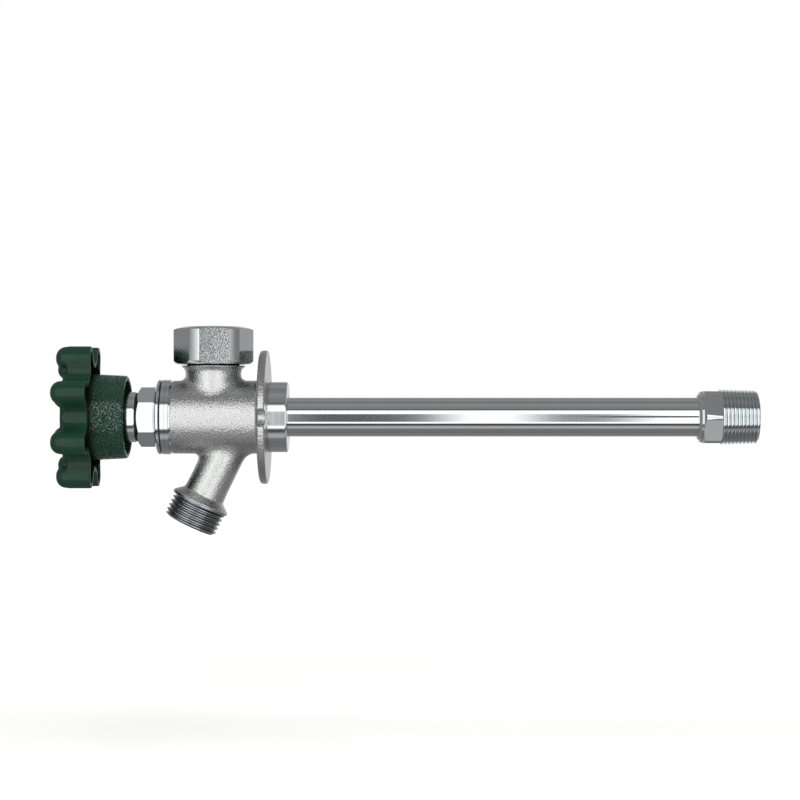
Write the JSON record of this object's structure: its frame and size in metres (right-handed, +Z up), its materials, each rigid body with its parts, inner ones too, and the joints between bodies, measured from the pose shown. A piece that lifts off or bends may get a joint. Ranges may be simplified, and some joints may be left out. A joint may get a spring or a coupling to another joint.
{
  "type": "frost free sillcock",
  "caption": "Frost-proof outdoor wall tap with a long supply tube, lobed handle, slanted hose outlet, wall flange and hexagonal vacuum breaker cap; the handle screws the valve open.",
  "frame": {"origin": "on the axis of the supply tube, in the plane of the wall flange's back face", "axes": "+X along the supply tube through the wall to the inlet, +Z up to the vacuum breaker cap, +Y to the left of someone facing the wall"},
  "size_m": [0.3411, 0.0688, 0.1023],
  "materials": {
    "cast_chrome": "chrome plate over a rough sand-cast brass surface, with machined rings and thread",
    "polished_chrome": "bright chrome plate over turned brass and drawn copper tube",
    "brass": "machined, uncoated",
    "green_enamel": "satin dark green enamel over a casting",
    "rubber": "matte moulded rubber",
    "fibre": "pressed black fibre",
    "graphite": "graphite-coated woven packing",
    "plastic": "moulded acetal",
    "steel": "stainless steel"
  },
  "bodies": {
    "valve": {"valve_body": "cast_chrome", "supply_tube": "polished_chrome", "inlet_fitting": "polished_chrome", "bonnet": "polished_chrome", "bonnet_gasket": "fibre", "packing_nut": "polished_chrome", "packing_gland": "brass", "packing": "graphite", "spindle_o_ring": "rubber", "breaker_seat": "brass", "breaker_gasket": "fibre", "vacuum_breaker_cap": "polished_chrome"},
    "washer_carrier": {"washer_holder": "brass", "swivel_ring": "steel", "seat_washer": "rubber", "washer_screw": "brass"},
    "spindle_assembly": {"spindle": "brass", "spindle_rod": "brass", "rod_end": "brass", "rod_guide": "plastic", "handle": "green_enamel", "handle_lock_washer": "steel", "handle_screw": "steel"},
    "vent_float": {"float": "plastic", "float_seal": "rubber"}
  },
  "joints": [
    {"name": "stem_travel", "type": "slide", "parent": "valve", "child": "washer_carrier", "axis": [-1, 0, 0], "range_m": [0, 0.0077]},
    {"name": "handle_turn", "type": "hinge", "parent": "washer_carrier", "child": "spindle_assembly", "pos_m": [0, 0, 0], "axis": [-1, 0, 0], "range_deg": [0, 1080]},
    {"name": "float_lift", "type": "slide", "parent": "valve", "child": "vent_float", "axis": [0, 0, 1], "range_m": [0, 0.002]}
  ],
  "couplings": [
    {"joint": "stem_travel", "follows": "handle_turn", "m_per_rad": 0.00040425}
  ]
}
